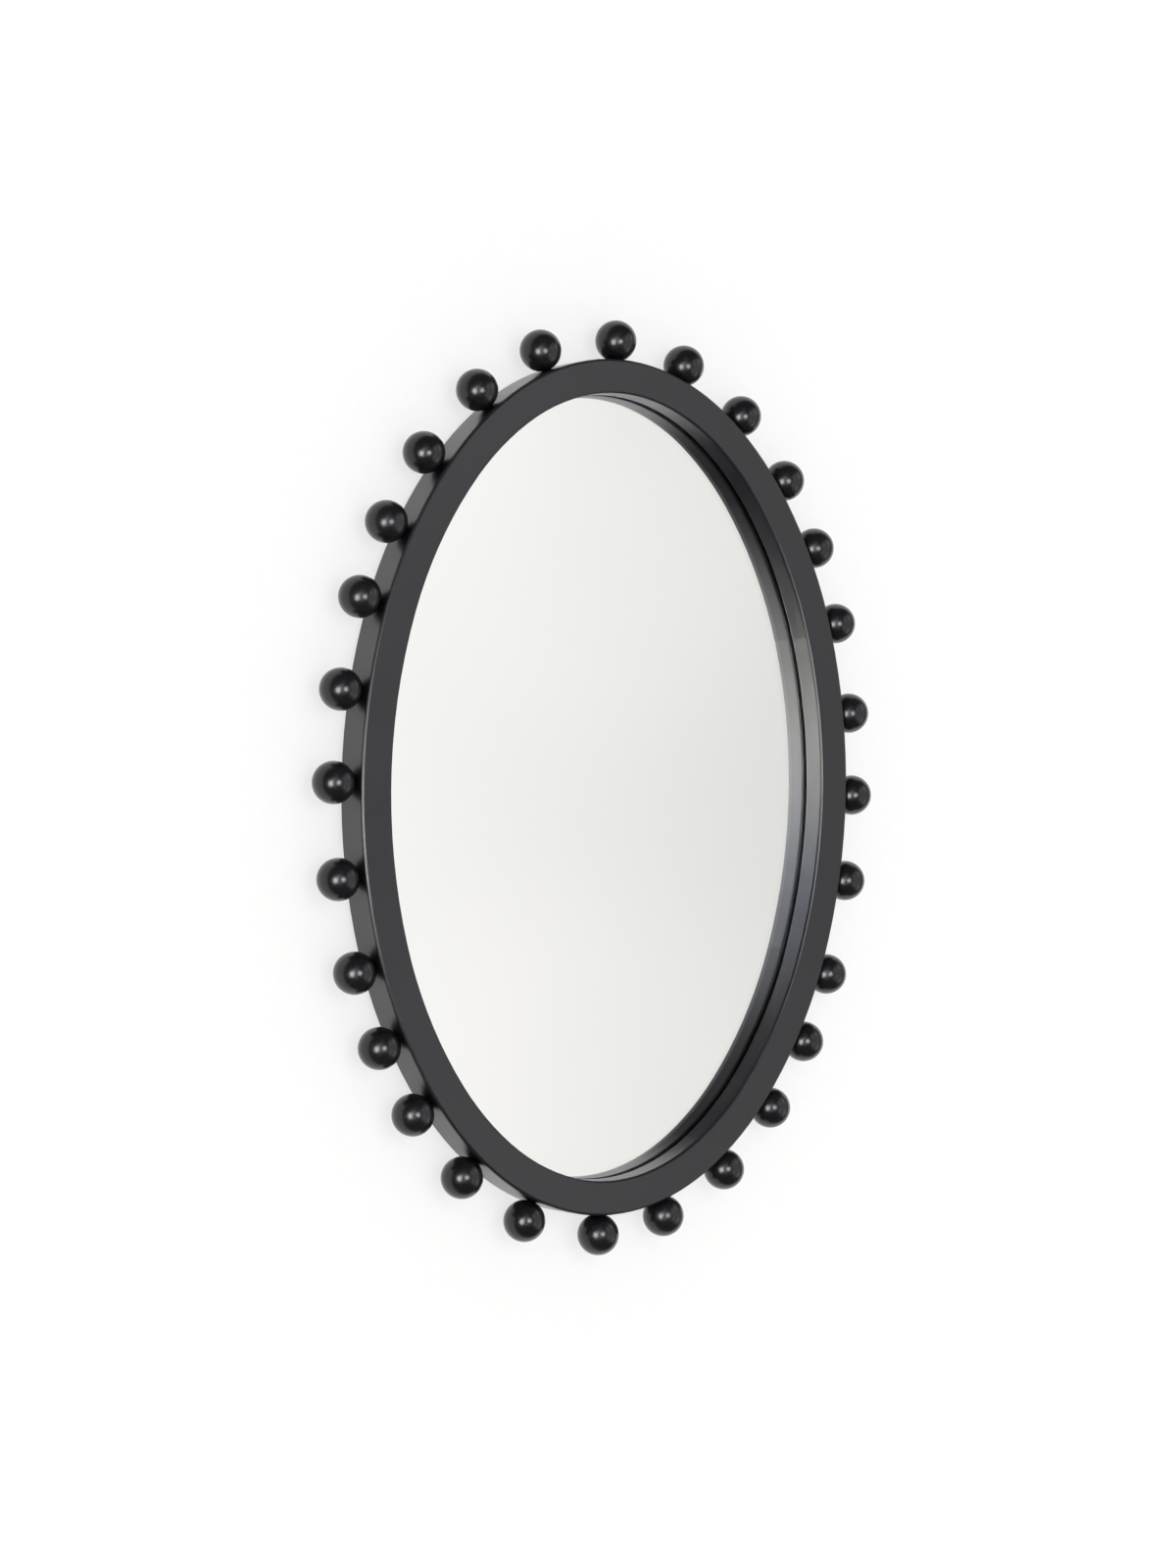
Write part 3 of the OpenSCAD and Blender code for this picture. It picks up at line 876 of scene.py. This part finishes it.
def studio_world(settings):
    """The room around: pale to the camera, dim to reflections, and a plain pale screen, a
    little darker to the right, for the mirror's own picture."""
    world = bpy.data.worlds.new("studio")
    bpy.context.scene.world = world
    world.use_nodes = True
    tree = world.node_tree
    tree.nodes.clear()
    output = add_node(tree, "OutputWorld")
    path = add_node(tree, "LightPath")
    axes = add_node(tree, "SeparateXYZ", {0: add_node(tree, "TexCoord").outputs["Generated"]})
    # The sideways part of a direction in which the mirror is looked along lies between these:
    # the first is a little before the pane's left edge, the last a little past its right one.
    left = 0.50
    right = 0.66
    across = add_node(tree, "MapRange", {"Value": axes.outputs["X"], 1: left, 2: right})
    screen = add_node(tree, "ValToRGB", {"Fac": across.outputs[0]},
                      stops=((0.0, "#FDFCFA"), (1.0, "#D4D3CE")))
    dim = add_node(tree, "Mix", {0: path.outputs["Is Diffuse Ray"], 6: linear("#59595D"),
                                 7: linear("#E7E7E7")}, data_type="RGBA")
    look = direct_look(tree, LOOK_DEPTH + 1)
    room = add_node(tree, "Mix", {0: look, 6: dim.outputs[2], 7: screen.outputs["Color"]},
                    data_type="RGBA")
    seen = add_node(tree, "Mix", {0: path.outputs["Is Camera Ray"], 6: room.outputs[2],
                                  7: linear("#F7F7F6")}, data_type="RGBA")
    power = add_node(tree, "MapRange", {"Value": look, 3: 1.0, 4: settings.screen_power})
    sky = add_node(tree, "Background", {"Color": seen.outputs[2], "Strength": power.outputs[0]})
    tree.links.new(sky.outputs[0], output.inputs["Surface"])


def wall_sheet(settings):
    """The wall, open behind the frame, out of sight, so that light reaches the back."""
    behind = 0.5 * MILLIMETRE
    covered = 5 * MILLIMETRE
    reach = settings.wall_width / 2
    bottom = -settings.floor_drop
    top = settings.wall_height - settings.floor_drop
    inner = oval(covered)
    rows = len(inner)
    turns = [2 * math.pi * (k / rows - 0.25) for k in range(rows)]
    outer = [(reach * math.cos(a), max(bottom, min(top, reach * math.sin(a)))) for a in turns]
    points = [(x, behind, z) for x, z in inner + outer]
    quads = [(k, (k + 1) % rows, rows + (k + 1) % rows, rows + k) for k in range(rows)]
    mesh = bpy.data.meshes.new("wall")
    mesh.from_pydata(points, [], quads)
    mesh.update()
    if mesh.polygons[0].normal.y > 0:
        mesh.flip_normals()
    return mesh


class MIRROR_OT_stage(bpy.types.Operator):
    """Put up the wall, the floor and the soft light"""
    bl_idname = "oval_mirror.stage"
    bl_label = "Studio"

    def execute(self, context):
        settings = context.scene.mirror_stage
        width = settings.wall_width
        wall = new_object("wall", wall_sheet(settings), wall_paint(settings))
        floor = new_object("floor", sheet("floor", width, width, -settings.floor_drop),
                           floor_paint(settings))
        floor.visible_glossy = floor.visible_transmission = False

        # Softboxes and reflectors: name, place, width, height and strength.
        soft_card("key_softbox", (-2.26, -2.05, -0.34), 1.5, 1.9, 18.2, colour="#FFFCF5")
        soft_card("second_softbox", (-0.44, -2.97, -0.06), 1.4, 1.3, 17.5, colour="#F6F6FF")
        soft_card("middle_reflector", (-2.1, -2.9, 0.52), 1.4, 2.2, 4.1, colour="#E6ECFF",
                  edge=0.7)
        soft_card("right_reflector", (1.75, -1.75, 0.0), 3.2, 4.4, 0.73, edge=0.25)
        # The other reflectors stand in pairs, one above and one below the mirror's middle.
        for name, side in (("upper", 1), ("lower", -1)):
            soft_card(name + "_left_reflector", (-1.3, -2.9, 1.05 * side), 1.1, 1.3, 1.7,
                      edge=0.7)
            soft_card(name + "_right_reflector", (1.05, -2.3, 0.95 * side), 1.2, 1.2, 1.0,
                      edge=0.7)
            soft_card(name + "_inner_reflector", (1.5, -2.2, 0.4 * side), 1.1, 0.8, 0.35,
                      edge=0.7)
            soft_card(name + "_far_reflector", (2.45, -1.2, 1.3 * side), 1.4, 1.7, 1.0,
                      edge=0.7)
        soft_card("top_reflector", (-0.9, -2.4, 1.9), 2.0, 1.2, 0.4, edge=0.6)

        area_light("front_fill", (-0.3, -3.0, 0.4), size=1.6, power=25.0).visible_glossy = False
        area_light("back_left", (-1.6, 2.4, 1.2), size=1.2, power=40.0)
        area_light("back_right", (1.8, 2.2, -0.2), size=1.2, power=20.0)
        studio_world(settings)
        context.scene.view_settings.view_transform = "Standard"
        return {"FINISHED"}


class MIRROR_OT_camera(bpy.types.Operator):
    """Stand the camera where the photograph was taken"""
    bl_idname = "oval_mirror.camera"
    bl_label = "Camera"

    def execute(self, context):
        settings = context.scene.mirror_camera
        back = Vector((math.sin(settings.azimuth) * math.cos(settings.elevation),
                       -math.cos(settings.azimuth) * math.cos(settings.elevation),
                       math.sin(settings.elevation)))
        right = (-back).cross(Vector((0, 0, 1))).normalized()
        up = right.cross(-back)
        forward = (-back * math.cos(settings.yaw) * math.cos(settings.pitch)
                   + right * math.sin(settings.yaw) * math.cos(settings.pitch)
                   + up * math.sin(settings.pitch))
        right = forward.cross(Vector((0, 0, 1))).normalized()
        up = right.cross(forward)
        right, up = (right * math.cos(settings.roll) + up * math.sin(settings.roll),
                     up * math.cos(settings.roll) - right * math.sin(settings.roll))
        data = bpy.data.cameras.new("camera")
        data.sensor_fit = "AUTO"
        data.sensor_width = SENSOR_SIDE
        data.lens = settings.focal_length
        data.clip_start = 0.05
        data.clip_end = 60.0
        camera = bpy.data.objects.new("camera", data)
        context.scene.collection.objects.link(camera)
        turn = Matrix((right, up, -forward)).transposed().to_4x4()
        place = back * settings.distance + Vector((0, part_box("back_ring")[1].y, 0))
        camera.matrix_world = Matrix.Translation(place) @ turn
        context.scene.camera = camera
        return {"FINISHED"}


# Panel and registration

PIECES = (MIRROR_OT_rings, MIRROR_OT_balls, MIRROR_OT_pane, MIRROR_OT_backing,
          MIRROR_OT_hardware, MIRROR_OT_bumpers, MIRROR_OT_stage, MIRROR_OT_camera)
SETTINGS = (("mirror_lacquer", LacquerSettings), ("mirror_glass", GlassSettings),
            ("mirror_screws", ScrewSettings), ("mirror_stage", StageSettings),
            ("mirror_camera", CameraSettings))


class MIRROR_PT_panel(bpy.types.Panel):
    """Lists the pieces of the mirror and their settings"""
    bl_idname = "MIRROR_PT_panel"
    bl_label = "Oval wall mirror"
    bl_space_type = "VIEW_3D"
    bl_region_type = "UI"
    bl_category = "Mirror"

    def draw(self, context):
        for piece in PIECES:
            self.layout.operator(piece.bl_idname)
        for name, group in SETTINGS:
            box = self.layout.box()
            for prop in group.__annotations__:
                box.prop(getattr(context.scene, name), prop)


def register():
    for name, group in SETTINGS:
        bpy.utils.register_class(group)
        setattr(bpy.types.Scene, name, PointerProperty(type=group))
    for cls in PIECES + (MIRROR_PT_panel,):
        bpy.utils.register_class(cls)


def unregister():
    for cls in (MIRROR_PT_panel,) + PIECES[::-1]:
        bpy.utils.unregister_class(cls)
    for name, group in reversed(SETTINGS):
        delattr(bpy.types.Scene, name)
        bpy.utils.unregister_class(group)


def main():
    register()
    for piece in PIECES:
        family, name = piece.bl_idname.split(".")
        getattr(getattr(bpy.ops, family), name)()


if __name__ == "__main__":
    main()
